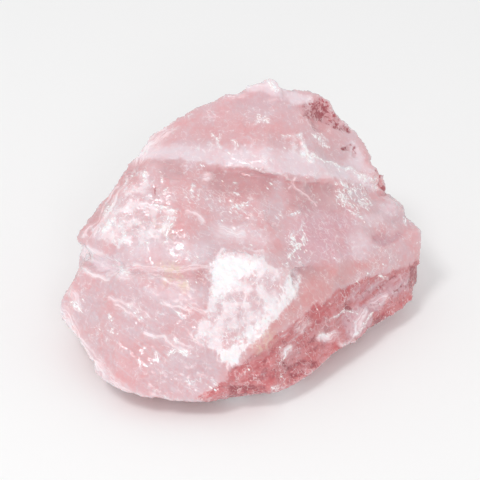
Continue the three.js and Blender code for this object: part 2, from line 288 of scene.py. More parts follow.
def drawn(places, strokes):
    """Strokes through points of the view, each with its width: 1 on them, 0 away from them, and
    0.5 at their edges. With it, how far across and along its stroke each place lies, in mm."""
    mask, across, along = np.zeros((3, len(places)))
    passed = 0
    for width, points in strokes:
        points = np.array(points, float)
        for start, end in zip(points[:-1], points[1:]):
            length = np.linalg.norm(end - start)
            way = (end - start) / length
            run = np.clip((places - start) @ way, 0, length)
            gap = places - start - run[:, None] * way
            soft = max(STROKE_SOFT, width / 2)
            strength = smoothstep(np.linalg.norm(gap, axis=1), width / 2 + soft, width / 2 - soft)
            stronger = strength > mask
            mask[stronger] = strength[stronger]
            across[stronger] = (gap @ np.array([-way[1], way[0]]))[stronger]
            along[stronger] = (passed + run)[stronger]
            passed += length
        passed += STROKE_APART
    return mask, across, along


# Regions that the photograph shows, in mm right of and above the middle of the view.
CAP = [(-20.4, 17.6), (-12, 18.4), (-4, 18.2), (2, 18), (10, 18.6), (12.4, 21.4), (13, 25), (17, 30),
       (7, 34), (-2, 32), (-12, 26), (-19, 21)]
LIP_BAND = [(-20.6, 22.6), (-12, 22.8), (-4, 22.4), (2, 22.2), (10, 22), (14.6, 18.4), (19, 16.4),
            (20.8, 15), (25.6, 12.8), (27, 9.4), (20.8, 12.2), (16, 12.6), (12, 13.2), (6, 13.6),
            (2, 14.4), (-2, 15), (-7.4, 15.4), (-12.8, 16.2), (-16.6, 16), (-20.8, 16.2)]
LIP_HAZE = [(-24, 19.4), (-12, 19.2), (-4, 18.8), (2, 18.6), (10, 18.4), (13.6, 17), (18, 15.6),
            (21, 14.8), (26, 12.4), (29, 8), (29, 4), (-24, 4)]
SUMMIT = [(-1, 31.8), (4, 34), (9, 33), (9.4, 30), (14.6, 28.6), (14.4, 27), (10, 27.4), (8, 28.4),
          (3.6, 29.4), (-1, 29.8)]
DEEP_ZONES = [
    [(-8.4, 15), (2, 14.2), (8, 12.6), (6, 8.8), (-1, 7.6), (-5, 9), (-7, 12)],
    [(-16.6, 15.8), (-11.6, 15.8), (-11.2, 12.6), (-16, 12.4)],
    [(9, 12.6), (18, 12), (19, 5), (9, 5.6)],
    [(17.6, 7.8), (21, 7.6), (20.8, 5.8), (17.6, 6)],
    [(-21, 16.2), (-18, 15.8), (-19.4, 13), (-23.2, 9.8), (-26.2, 5.8), (-30, 0), (-33.4, -0.8),
     (-29.6, 6), (-25, 11.4)],
    [(-9, -4.6), (-7, -4.2), (-6.6, -9), (-9, -9)],
]
LEDGE = [(-32.8, -0.4), (-29, -1.8), (-24, -4.2), (-22.2, -6.4), (-24.6, -7.2), (-28.8, -5.8),
         (-31.6, -3.2)]
HAZES = [
    [(-23, 0), (-14, 0.4), (-6, -0.4), (-6, -4.8), (-14, -5), (-23, -4.8)],
    [(-6, 4), (2, 3), (7, 1), (6, -1.6), (-3.6, -1.4), (-6, 1)],
    [(-21.6, -8.4), (-12, -9), (-7, -11), (-8, -14), (-18, -12)],
    [(-20.6, 14), (-24, 10), (-28.4, 3.6), (-31.6, 0), (-27, 0), (-23.6, 7.6)],
    [(23, 5), (27, 5.6), (30, 8.6), (31, 7), (29, 3), (25.4, 2.4)],
]
SMOOTH_FACET = [(12.6, 24.8), (16, 22.6), (20, 21), (24.6, 18.6), (26.6, 13.4), (20.8, 14.8),
                (17.4, 15.8), (14, 18), (12, 21)]
PALE_FACET = [(22.4, 19.6), (24.4, 18), (26.8, 13.6), (25, 12.6), (21, 14.6)]
DARK_HOLLOW = [(11.6, 26.8), (14.4, 28), (17, 28.2), (18.8, 26.4), (19.9, 24), (19.2, 22.2), (16, 23.4),
               (13, 25)]
RIM_FROST = [(8.4, 21), (12, 21.4), (14, 18), (14.8, 16), (13, 15.4), (10, 17.8)]
LEFT_FROST = [(-19.4, 14), (-18, 12.8), (-17.8, 7.8), (-16, 6.8), (-12.8, 6), (-12.2, 5.2), (-12.8, 4),
              (-14.4, 2.2), (-15.8, -0.4), (-18, -2), (-24, -1.4), (-28.2, 0.2), (-27.4, 3.6),
              (-25.6, 7.4), (-23, 10.2), (-20.8, 12.6)]
FRONT_FROST = [(-6.2, -5.4), (-3.7, -1.7), (5.4, -1.8), (6, -4.4), (8, -6), (11.9, -6.2), (12.1, -9.9),
               (6.4, -16.4), (3.4, -19.8), (0, -23.4), (-1.1, -25.4), (-3.7, -24.4), (-4.4, -22.6),
               (-7.4, -21.6), (-9.2, -19.4), (-8.8, -16.8), (-6.2, -13.6), (-6, -10.4), (-5.4, -8)]
FRONT_WHITES = [
    [(-6.2, -5.4), (-4.4, -3.2), (-2, -3.6), (3.6, -3.8), (2.8, -6.8), (-0.4, -8.4), (-2.4, -10.6),
     (-5, -12), (-5.6, -9)],
    [(-4.2, -22.2), (-0.8, -21.4), (0.3, -23.4), (-1.1, -25.4), (-3.6, -24.4)],
]
FRONT_MARGIN = [(9.6, -7.6), (12, -7), (12.1, -9.9), (6.4, -16.4), (3.4, -19.8), (0.4, -23), (-0.6, -21),
                (3, -16.6), (6.4, -12.6)]
ORANGE_STRIP = [(-1.1, -25.4), (3.4, -19.8), (12.1, -9.9), (11.9, -6.2), (17, -5), (22, -3.6),
                (28, -4.4), (26, -6.6), (20.6, -9.4), (17, -12), (10.4, -16.6), (4.8, -21), (0, -25.4)]
STREAKED = [(19, 11.8), (25, 11.2), (26.4, 6.4), (22, 5), (18.6, 8.6)]
GLINTING = [(9, 1.6), (12, 1.8), (14.4, 1), (12.4, -4.6), (9, -5.4)]
SPARKLING = [(-12, 10.8), (-6, 10), (2, 9), (7, 6.4), (2, 3.6), (-6, 5.6), (-12, 6.6)]
VIOLET_ZONE = [(12, 6), (22, 5), (23, -3.6), (14, -5.4), (9, 0)]
MILKY_SIDE = [(21.8, 1.4), (25.2, 1.6), (26.4, 0.2), (27.6, -1.2), (25.3, -3), (24, -3.6), (21, -2.4)]
SIDE_BLOB = [(26.3, 0.5), (27.5, 1.4), (29.3, 1.4), (31.8, 1.4), (32.7, 0.5), (30.9, -0.4), (28.7, -1.3),
             (27.5, -1), (26.6, -0.4)]
SIDE_STUB = [(26.6, 13.8), (27.8, 13.6), (29.6, 9.8), (28.6, 8.6), (27.2, 10.8)]
CORNER_STUB = [(33.6, -5), (36, -4.8), (37, -9.2), (35, -10.4), (34, -8.4)]
WALL = [(0, -25.2), (4.8, -21), (10.4, -16.8), (17, -12), (20.6, -9.6), (25.2, -7.4), (29.3, -6.2),
        (34, -5.3), (37.6, -1), (38, -12), (27.4, -19.4), (18, -25.6), (7.8, -32), (-1, -33.4),
        (-9, -32), (-4, -28)]
RED_WALL = [(4, -22), (10.4, -17), (17, -12.4), (21, -10), (25, -9.6), (22, -14.6), (14, -20), (8, -25),
            (2, -27)]
PALE_WALL = [(20.7, -15), (27.8, -10.4), (34.2, -7), (33.6, -9.9), (29.3, -11.6), (27.6, -13.9),
             (25.8, -17.4), (21, -21)]
UPPER_WALL = [(22.4, -9.4), (28, -7.6), (34, -6), (34.4, -8.4), (28.6, -10.8), (24, -12.6), (21.4, -13)]
WALL_DARKS = [
    [(28.7, -14.4), (26.1, -17.2), (25.4, -18.8), (27.6, -18.2), (31, -15.4)],
    [(8.4, -24.4), (15.8, -24.2), (16.6, -25.8), (9, -26)],
    [(10, -26.2), (13.6, -25.8), (14, -27), (10.4, -28.2)],
    [(-2.4, -28.8), (5, -29.2), (5.4, -31), (-2, -32)],
    [(5.2, -26.2), (6.8, -26.2), (7.2, -28), (5.2, -27.8)],
    [(13.6, -19.4), (16, -18.8), (16, -20), (13.4, -20.6)],
    [(21.6, -13.2), (22.6, -13.2), (22.4, -14.8), (21.4, -14.6)],
]
LOWER_LEFT = [(-33, -8), (-23, -7.4), (-8, -8), (-5.6, -16), (-2.4, -26), (-2, -33), (-22, -33),
              (-31, -25), (-36, -14)]

# Milky lines, and white flecks that are partly painted glints, each with its width.
MILKY_LINES = [
    (2.2, [(-30.6, -2.4), (-28, -4.4), (-24.2, -6.4), (-22.4, -6.6)]),
    (1, [(-31.2, -6.2), (-28.4, -7), (-26.2, -8)]),
    (0.8, [(-22.8, 11.8), (-26, 6.6), (-29, 1.4)]),
    (0.6, [(-24.6, 10.8), (-28.6, 4.4), (-31.2, 0.6)]),
    (1.4, [(-22, -5.4), (-16, -5.6), (-7, -5.4)]),
    (2.2, [(-35, -14), (-32.6, -19.4), (-29.4, -24.2), (-26, -28.2), (-21, -32)]),
    (1.6, [(-33.6, -10.4), (-32.4, -13.2)]),
    (3, [(-20, 16.4), (-18.6, 19), (-15, 22)]),
    (1.2, [(-3.8, 2.2), (0.4, 1.2)]),
    (1.6, [(-6.8, 12.2), (-6.4, 12.2)]),
    (0.7, [(-10.4, 5.6), (-8.4, 5), (-7.2, 4)]),
    (0.5, [(10.2, 11.6), (12.6, 9.2), (14.8, 6.6)]),
    (0.5, [(11.2, 12.4), (10.4, 10.4)]),
    (0.8, [(-25.8, -11.6), (-21.6, -12.8), (-18.2, -15.6)]),
    (0.6, [(-25, -13), (-19.6, -16)]),
    (0.9, [(-19, -18.6), (-15, -19.8), (-10.6, -22.8)]),
    (0.5, [(-13.4, -19.4), (-9.6, -21.9)]),
    (0.6, [(-16, -12.4), (-12, -13.4), (-7, -14.6)]),
    (0.5, [(-22.6, -4.8), (-12, -9), (-9, -10.4)]),
    (0.6, [(4.6, -6.1), (2.3, -9), (0.8, -12.6), (0.3, -16.3), (-0.1, -19.4), (-0.3, -23.1)]),
    (0.5, [(0.2, -9), (-2.4, -10.5), (-4.6, -12)]),
    (1.6, [(24.6, -14.8), (22.4, -18.6)]),
    (1.6, [(16.3, -19.8), (19, -19)]),
    (1.2, [(11.6, -17.6), (12.6, -16.6), (14, -16.6)]),
    (1.4, [(8.8, -22.8), (9.8, -21.6)]),
    (1.4, [(26.3, -12.4), (28.7, -11.6)]),
    (1.2, [(20.4, -20.6), (21.8, -20.2)]),
]
WHITE_FLECKS_AND_PAINTED_GLINTS = [
    (0.6, [(12, 21.2), (12.9, 19.2), (14, 17.8), (16, 16.2), (17.4, 15.6), (20.8, 14.3)]),
    (0.6, [(20.8, 14.3), (23.2, 13.2), (25.6, 12), (27, 9.6)]),
    (1.6, [(13.2, 17.8), (14.6, 16.4)]),
    (1.4, [(24, 12.4), (26, 11.4)]),
    (1.1, [(5.8, 31.8), (7.2, 30.2)]),
    (0.5, [(-5.8, 21.4), (-4.9, 20.2), (-4.2, 18.8)]),
    (0.4, [(-4.2, 21), (-4.8, 19.4)]),
    (0.4, [(-1.6, 19.8), (-0.8, 19.2)]),
    (0.4, [(3.8, 25), (4.6, 24), (6.2, 23.6)]),
    (0.4, [(3.6, 23.4), (5.4, 24.4)]),
    (0.5, [(8.4, 20.8), (10.4, 20.2)]),
    (0.4, [(15, 21.2), (17.4, 18.6)]),
    (0.3, [(16.2, 21), (17, 20)]),
    (0.5, [(-1.8, 6.4), (0.2, 7.2), (1.8, 7.6)]),
    (0.6, [(-1.6, 7.4), (0.8, 6)]),
    (0.5, [(8, 5.4), (8.6, 4.8)]),
    (0.5, [(10.2, 5), (11.4, 5.4)]),
    (0.5, [(11.6, 2.4), (12.4, 3.8)]),
    (0.9, [(10.6, 1.2), (10.2, -0.6), (11.6, -1)]),
    (0.8, [(13, 1.4), (12.4, -0.8)]),
    (0.8, [(11.6, -1.4), (9.8, -3.4)]),
    (0.5, [(19.4, 10.4), (20.8, 8), (22.6, 6.8)]),
    (0.9, [(20.4, 9.4), (21.4, 8)]),
    (0.4, [(21, 11.2), (22.4, 9.2)]),
    (0.4, [(22.6, 10.6), (24.6, 6.6)]),
    (0.4, [(23.8, 8.8), (25.8, 6)]),
    (0.4, [(19.8, 12), (21.2, 10.8)]),
    (0.4, [(22, 5.2), (24.4, 4.4)]),
    (0.9, [(-17.2, 7), (-15, 6.4), (-13, 5.8)]),
    (0.5, [(-13, 4.4), (-14.6, 1.4), (-15.2, -0.6)]),
    (0.4, [(-14.2, 4.4), (-15.8, 1.6)]),
    (1.3, [(-25.2, 4), (-27.2, 2.1)]),
    (0.4, [(-25.4, 1.6), (-24.6, -0.6), (-24, -1.4), (-23.2, -0.2), (-23.6, 2.2), (-24.2, 3.4)]),
    (0.4, [(-15.4, 12.8), (-15.4, 12)]),
    (0.5, [(-14.6, 10.6), (-15, 9.6)]),
    (0.6, [(-9.4, 10.8), (-9.8, 10.2)]),
    (0.4, [(-9.8, 9.8), (-9.2, 8.8)]),
    (0.5, [(-1.6, 11.1), (-1.2, 10.9)]),
    (0.5, [(-1, 9.3), (-0.6, 9.1)]),
    (0.8, [(-25.4, 7.2), (-26.8, 5.4)]),
    (0.5, [(-22.4, 12.4), (-23, 10.8)]),
    (0.5, [(-24, 0.2), (-23, -1)]),
    (0.6, [(-18.8, 13.4), (-19.2, 11.8)]),
    (1, [(-24.6, -5.6), (-22.6, -6.4)]),
    (0.9, [(-11.8, -22.2), (-10.6, -23)]),
    (0.6, [(-20.8, -14.4), (-19.8, -15.8)]),
    (0.5, [(-12.4, -14.6), (-11.4, -15)]),
    (0.7, [(-11, -28), (-9.8, -28.6)]),
    (0.6, [(-6, -28), (-5, -28.8)]),
    (0.5, [(-16.8, -22.8), (-16.6, -24.2)]),
    (0.5, [(-26, -14.4), (-25.8, -15.8)]),
    (1.1, [(-33.2, -12.8), (-31.8, -13.6)]),
    (0.5, [(-12.6, -20.2), (-11.8, -20.6)]),
    (0.5, [(-14.4, -23), (-12.6, -22)]),
    (0.5, [(32.6, 4.4), (32.8, 3)]),
    (0.4, [(16.3, -19.4), (19, -18.6)]),
    (0.5, [(9.8, -21.4), (9, -22.8), (8.2, -24.4)]),
    (0.5, [(27.6, -7), (29.3, -7.6)]),
    (0.5, [(26.6, -14.8), (24.8, -16.8), (22.8, -18.4)]),
    (0.4, [(18.2, -15.6), (20.4, -14.6), (23.4, -14.4)]),
    (0.6, [(6.4, -29.8), (7.8, -29.2)]),
]
PITS = [
    (1.7, [(17.8, 26), (18.9, 24.4), (18.9, 23)]),
    (1.2, [(20.4, 22.2), (21.4, 21.4)]),
    (0.8, [(20.8, 18.4), (22, 18.4)]),
    (0.6, [(22.8, 17.8), (22.8, 16.6)]),
    (0.7, [(15.6, 27), (17.4, 25.4)]),
    (0.4, [(-17, 10.2), (-16.8, 9.6)]),
    (0.9, [(29, 12.2), (29.4, 10)]),
    (0.9, [(34.6, -5.4), (35.6, -9)]),
    (0.5, [(10.4, -25), (15.6, -24.8)]),
    (0.5, [(-1, -30), (4, -30.4)]),
    (0.4, [(27.4, -9.5), (31.6, -7.1)]),
    (0.4, [(31, -10.3), (33.1, -9.2)]),
]
SIDE_SWELLS = [
    (2.4, [(27.4, 13), (28.6, 10)]),
    (2, [(29.2, 8), (31, 5.6)]),
]
WARM_SPOTS = [
    (2.2, [(-15.2, -5.2), (-12.8, -5.6)]),
    (1.4, [(-14.8, -8.6), (-13.8, -7.4)]),
    (1.2, [(-12.4, -7), (-10.6, -10)]),
    (2.6, [(4, -21.4), (5.8, -19.4)]),
    (1.4, [(-16.6, 3.4), (-14.4, 1.4)]),
]


def measure(skin):
    """The regions and the broad noise that both the relief and the colours are made from."""
    points = skin.points
    sway = np.stack([cloud(points, 6, SEED), cloud(points, 6, SEED + 10)], axis=1)
    fray = np.stack([cloud(points, 2.4, SEED + 20), cloud(points, 2.4, SEED + 30)], axis=1)
    places = skin.in_view() + 0.5 * sway + 0.5 * fray
    slant = skin.spread(skin.normals, 5) @ TO_VIEWER
    facing = smoothstep(slant, -0.05, 0.2)
    away = 1 - facing
    to_rim = smoothstep(slant, -0.5, -0.2)
    fleck, fleck_across, fleck_along = drawn(places, WHITE_FLECKS_AND_PAINTED_GLINTS)
    # Elsewhere the strands of the flecks run along the ridge.
    fleck_across = np.where(fleck > 0, fleck_across, points[:, 2])
    fleck_along = np.where(fleck > 0, fleck_along, points @ np.array(RIDGE_WAY))
    line, line_across, line_along = drawn(places, MILKY_LINES)

    def shown(corners, soft):
        return facing * patch(places, corners, soft)

    def any_shown(outlines, soft):
        return np.maximum.reduce([shown(corners, soft) for corners in outlines])

    def strokes_shown(strokes):
        return facing * drawn(places, strokes)[0]

    broad = cloud(points, 16, SEED + 40)
    strata = lattice_noise(drawn_out(points, RIDGE_WAY, 5), 6, SEED + 44)
    wisps = np.abs(cloud(drawn_out(points, FALL_LINE, 3), 5, SEED + 45))
    specks = lattice_noise(drawn_out(points, RIDGE_WAY, 3), 0.9, SEED + 46)
    foot = smoothstep(points[:, 2], 9, 1)
    return {
        "places": places,
        "away": away,
        "broad": broad,
        "fleck_across": fleck_across,
        "fleck_along": fleck_along,
        "line": facing * line,
        "line_across": line_across,
        "line_along": line_along,
        "rim": smoothstep(np.abs(slant), 0.5, 0.1),
        "swell": to_rim * drawn(places, SIDE_SWELLS)[0],
        "cap": shown(CAP, 3),
        "lower_left": shown(LOWER_LEFT, 3),
        "facet": shown(SMOOTH_FACET, 2),
        "calm": np.maximum(0.7 * shown(CAP, 3), 0.9 * shown(SMOOTH_FACET, 2)),
        "strip": shown(ORANGE_STRIP, 2.4),
        "milk": np.maximum.reduce([np.minimum(shown(LIP_BAND, 1.6), shown(LIP_HAZE, 5)),
                                   0.9 * shown(SUMMIT, 1.6), 0.8 * shown(PALE_FACET, 3),
                                   0.62 * shown(MILKY_SIDE, 4), shown(LEDGE, 1.4),
                                   0.62 * any_shown(HAZES, 4),
                                   away * smoothstep(strata, 0, 0.6),
                                   0.9 * away * smoothstep(wisps, 0.1, 0.02)]),
        "frost": np.maximum.reduce([any_shown(FRONT_WHITES, 3.4), 0.66 * shown(FRONT_MARGIN, 3),
                                    away * smoothstep(broad, 0.15, 0.75)]),
        "bloom": np.maximum.reduce([shown(FRONT_FROST, 1.2), 0.75 * shown(LEFT_FROST, 2.4),
                                    0.7 * shown(RIM_FROST, 3)]),
        # White marks: in view, flecks that are partly painted glints; on the far sides, white specks.
        "white": np.maximum(facing * fleck,
                            0.7 * away * smoothstep(specks, 0.6, 1) * smoothstep(strata, 0.1, 0.5)),
        # Where the skin glints: small tilted faces, and cells painted white as painted glints.
        "glint": np.maximum.reduce([shown(STREAKED, 2), shown(GLINTING, 2),
                                    0.45 * shown(SPARKLING, 3), 0.3 * shown(FRONT_FROST, 2),
                                    0.35 * shown(VIOLET_ZONE, 3), 0.1 * shown(WALL, 2),
                                    0.22 * away]),
        "deep": np.maximum.reduce([any_shown(DEEP_ZONES, 3), shown(SIDE_BLOB, 1.2),
                                   away * smoothstep(broad, -0.05, -0.6)]),
        "violet": np.maximum(shown(VIOLET_ZONE, 5), 0.8 * shown(SIDE_BLOB, 1.6)),
        "warm": strokes_shown(WARM_SPOTS),
        # The wall's darker reds: partly the stone's deeper red, partly painted shade of a face turned
        # down and away from the light. On the far sides they run round the foot, darker towards the
        # bottom.
        "wall": np.maximum(shown(WALL, 1.2), 0.9 * away * foot),
        "red_wall": np.maximum(shown(RED_WALL, 4), 0.7 * away * foot * smoothstep(strata, 0.2, -0.3)),
        "pale_wall": np.maximum.reduce([shown(PALE_WALL, 2), 0.5 * shown(UPPER_WALL, 2),
                                        away * foot * smoothstep(strata, 0.2, 0.6)]),
        "red": np.maximum.reduce([0.8 * shown(DARK_HOLLOW, 1.6),
                                  1.4 * to_rim * patch(places, SIDE_STUB, 0.8),
                                  1.4 * to_rim * patch(places, CORNER_STUB, 0.8),
                                  0.9 * any_shown(WALL_DARKS, 1), strokes_shown(PITS)]),
    }


# The relief

def chip_scars(skin, size, seed):
    """Shallow tilted dishes that meet at sharp ridges, each about as wide as size: the height of
    the skin in them, in shares of the size, and a random tone from 0 to 1 for each of them."""
    rng = np.random.default_rng(seed)
    area = len(skin.points) * (VOXEL / MM) ** 2
    count = int(area / size ** 2)
    middles = skin.points[rng.choice(len(skin.points), count, replace=False)]
    tilts = rng.normal(size=(count, 3))
    lifts = rng.uniform(0, DISH_LIFT, count)
    tones = rng.uniform(0, 1, count)
    tree = KDTree(count)
    for i, middle in enumerate(middles):
        tree.insert(middle, i)
    tree.balance()
    near = np.array([[found[1] for found in tree.find_n(point, 4)] for point in skin.points])
    offsets = (skin.points[:, None] - middles[near]) / size
    dishes = lifts[near] + DISH_TILT * np.einsum("ijk,ijk->ij", tilts[near], offsets)
    dishes += DISH_CURVE * (offsets ** 2).sum(axis=2)
    lowest = dishes.argmin(axis=1)
    rows = np.arange(len(near))
    heights = dishes[rows, lowest]
    return heights - heights.mean(), tones[near[rows, lowest]]


def carve(piece, skin, regions):
    """Moves the skin in and out by its relief, and keeps the base flat and the whole in the box
    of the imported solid."""
    points = skin.points
    wall = regions["wall"]
    frost = np.maximum(regions["frost"], regions["bloom"])
    calm = (1 - 0.7 * regions["facet"]) * (1 - 0.55 * regions["cap"])
    rough = np.clip(0.75 + 0.4 * regions["broad"], 0.4, 1.1) * calm
    wide, regions["wide_tone"] = chip_scars(skin, WIDE_SCARS, SEED + 50)
    mid, regions["mid_tone"] = chip_scars(skin, MID_SCARS, SEED + 51)
    small, regions["small_tone"] = chip_scars(skin, SMALL_SCARS, SEED + 52)
    # Chip scars, shallower where the skin is calm.
    relief = 0.36 * rough * wide
    relief += (0.18 * rough + 0.1 * wall) * mid
    relief += (0.07 * calm + 0.05 * frost + 0.07 * wall) * small
    relief += (0.03 + 0.04 * frost + 0.04 * wall) * cloud(points, 1, SEED + 53, 2)
    # Ledges on the lower right wall run along the ridge above it.
    across_wall = regions["places"] @ np.array(ACROSS_LEDGES)
    layer = across_wall / LEDGE_SPACING + 0.5 * cloud(points, 9, SEED + 60)
    relief += LEDGE_HEIGHT * wall * (0.5 - layer % 1)
    # The lower left face is streaked from its upper left to its lower right.
    streaks = lattice_noise(drawn_out(points, FALL_LINE, 8), 0.9, SEED + 61)
    relief += STREAK_HEIGHT * regions["lower_left"] * streaks
    # Sharp edges are chipped.
    edges = smoothstep(skin.bulge(8), 0.05, 0.25)
    relief -= EDGE_CHIPS * edges * np.clip(cloud(points, 1.3, SEED + 70, 2), 0, 1)
    # The outline that the photograph shows is jagged, and it swells at the right.
    relief += RIM_JAGS * regions["rim"] * cloud(points, 0.9, SEED + 71, 2)
    relief += SIDE_SWELL * regions["swell"]
    # White flecks and painted glints stand out a little, and pits are sunk.
    relief += FLECK_HEIGHT * regions["white"]
    relief -= PIT_DEPTH * regions["red"] * (1 - 0.6 * wall)
    # Narrow grooves of the solid are filled up.
    relief += GROOVE_FILL * np.clip(-skin.bulge(12), 0, 0.6)
    normals = skin.spread(skin.normals, 8)
    normals /= np.linalg.norm(normals, axis=1)[:, None]
    shift = normals * relief[:, None]
    shift[:, 2] *= smoothstep(points[:, 2], 0.3, 1.5)
    moved = points + shift
    # Where the skin would fold into itself in a crease, it is evened out.
    folds = smoothstep(skin.bulge(6, moved), -0.12, -0.3)
    folds = np.minimum(1, 3 * skin.spread(folds, 4))[:, None]
    moved += folds * (skin.spread(moved, 8) - moved)
    low, high = (np.array(corner) / MM for corner in CAD_BOX)
    moved = np.clip(moved, low, high)
    moved[points[:, 2] < 0.3, 2] = 0
    piece.data.vertices.foreach_set("co", (moved * MM).astype(np.float32).ravel())
    piece.data.update()


def keep(mesh, name, values):
    """Keeps a value at each vertex of a mesh, for the material to read."""
    attribute = mesh.attributes.new(name, "FLOAT", "POINT")
    attribute.data.foreach_set("value", values.astype(np.float32))


# The material

class Graph:
    """A short way to add nodes to a material and join them."""

    def __init__(self, name):
        self.material = bpy.data.materials.new(name)
        self.material.use_nodes = True
        self.tree = self.material.node_tree
        self.tree.nodes.clear()

    def node(self, kind, inputs=None, **settings):
        """Adds a node. Each input is a socket to join to it, or a value."""
        made = self.tree.nodes.new(kind)
        for key, value in settings.items():
            setattr(made, key, value)
        for key, value in (inputs or {}).items():
            if isinstance(value, bpy.types.NodeSocket):
                self.tree.links.new(value, made.inputs[key])
            else:
                made.inputs[key].default_value = value
        return made

    def value(self, name):
        """A value that the mesh keeps at its vertices."""
        return self.node("ShaderNodeAttribute", attribute_name=name).outputs["Fac"]

    def maths(self, operation, a, b=0.0, c=0.0):
        return self.node("ShaderNodeMath", {0: a, 1: b, 2: c}, operation=operation).outputs[0]

    def product(self, first, *others):
        """All of these multiplied together."""
        for other in others:
            first = self.maths("MULTIPLY", first, other)
        return first

    def vector(self, operation, a, b):
        return self.node("ShaderNodeVectorMath", {0: a, 1: b}, operation=operation)

    def scaled(self, vector, factor):
        """A vector made longer by a factor."""
        made = self.node("ShaderNodeVectorMath", {0: vector, "Scale": factor}, operation="SCALE")
        return made.outputs[0]

    def between(self, source, low, high, to_low=0.0, to_high=1.0):
        """Goes smoothly from to_low, where the source is at low, to to_high, where it is at high."""
        made = self.node("ShaderNodeMapRange",
                         {"Value": source, "From Min": low, "From Max": high, "To Min": to_low,
                          "To Max": to_high}, interpolation_type="SMOOTHSTEP")
        return made.outputs["Result"]

    def drawn_out(self, place, way, ratio):
        """Squeezes a place along a way, so that textures make streaks that run that way."""
        along = self.vector("DOT_PRODUCT", place, way).outputs["Value"]
        squeezed = self.scaled(way, self.maths("MULTIPLY", along, 1 - 1 / ratio))
        return self.vector("SUBTRACT", place, squeezed).outputs[0]

    def noise(self, place, size, detail=3.0, roughness=0.5):
        """Smooth noise from 0 to 1, with lumps about as wide as size."""
        made = self.node("ShaderNodeTexNoise",
                         {"Vector": place, "Scale": 1 / (size * MM), "Detail": detail,
                          "Roughness": roughness})
        return made.outputs["Fac"]

    def cells(self, place, size):
        """Random cells about as wide as size, each with a colour of its own."""
        return self.node("ShaderNodeTexVoronoi", {"Vector": place, "Scale": 1 / (size * MM)})

    def lot(self, cells, channel):
        """A random number for each cell, from one channel of its colour."""
        made = self.node("ShaderNodeSeparateColor", {"Color": cells.outputs["Color"]})
        return made.outputs[channel]

    def seams(self, place, size, width):
        """The seams between random cells about as wide as size. width is in shares of it."""
        made = self.node("ShaderNodeTexVoronoi", {"Vector": place, "Scale": 1 / (size * MM)},
                         feature="DISTANCE_TO_EDGE")
        return self.between(made.outputs["Distance"], width, width / 3)

    def strands(self, name, size, ratio):
        """Fine strands that run along the strokes of the view."""
        across = self.product(self.value(name + "_across"), MM)
        along = self.product(self.value(name + "_along"), MM / ratio)
        place = self.node("ShaderNodeCombineXYZ", {0: across, 1: along}).outputs[0]
        return self.noise(place, size, 2, 0.6)

    def ragged(self, mask, noise, amount, soft=0.12):
        """A mask with its edge, at 0.5, frayed by a noise and made sharp."""
        frayed = self.maths("MULTIPLY_ADD", noise, amount, self.maths("SUBTRACT", mask, amount / 2))
        return self.between(frayed, 0.5 - soft, 0.5 + soft)

    def mix(self, share, a, b):
        """The colour a, with a share of the colour b. Either may be a socket."""
        made = self.node("ShaderNodeMix", {"Factor": share}, data_type="RGBA")
        for socket, value in ((made.inputs[6], a), (made.inputs[7], b)):
            if isinstance(value, bpy.types.NodeSocket):
                self.tree.links.new(value, socket)
            else:
                socket.default_value = (*value, 1)
        return made.outputs[2]


PINK = (0.775, 0.55, 0.59)
DEEP_PINK = (0.84, 0.43, 0.445)
MILKY = (0.81, 0.69, 0.735)
FROSTED = (0.89, 0.82, 0.85)
FROST_WHITE = (0.95, 0.90, 0.925)
WHITE = (0.98, 0.965, 0.97)
LINE = (0.98, 0.87, 0.90)
VIOLET_PINK = (0.80, 0.46, 0.52)
# The wall's colours are partly its deeper red, partly painted shade.
WALL_PINK = (0.74, 0.29, 0.305)
WALL_RED = (0.67, 0.19, 0.205)
WALL_PALE = (0.80, 0.52, 0.58)
STRIP_PINK = (0.79, 0.38, 0.375)
DARK_RED = (0.46, 0.12, 0.14)
WARM = (0.88, 0.69, 0.56)


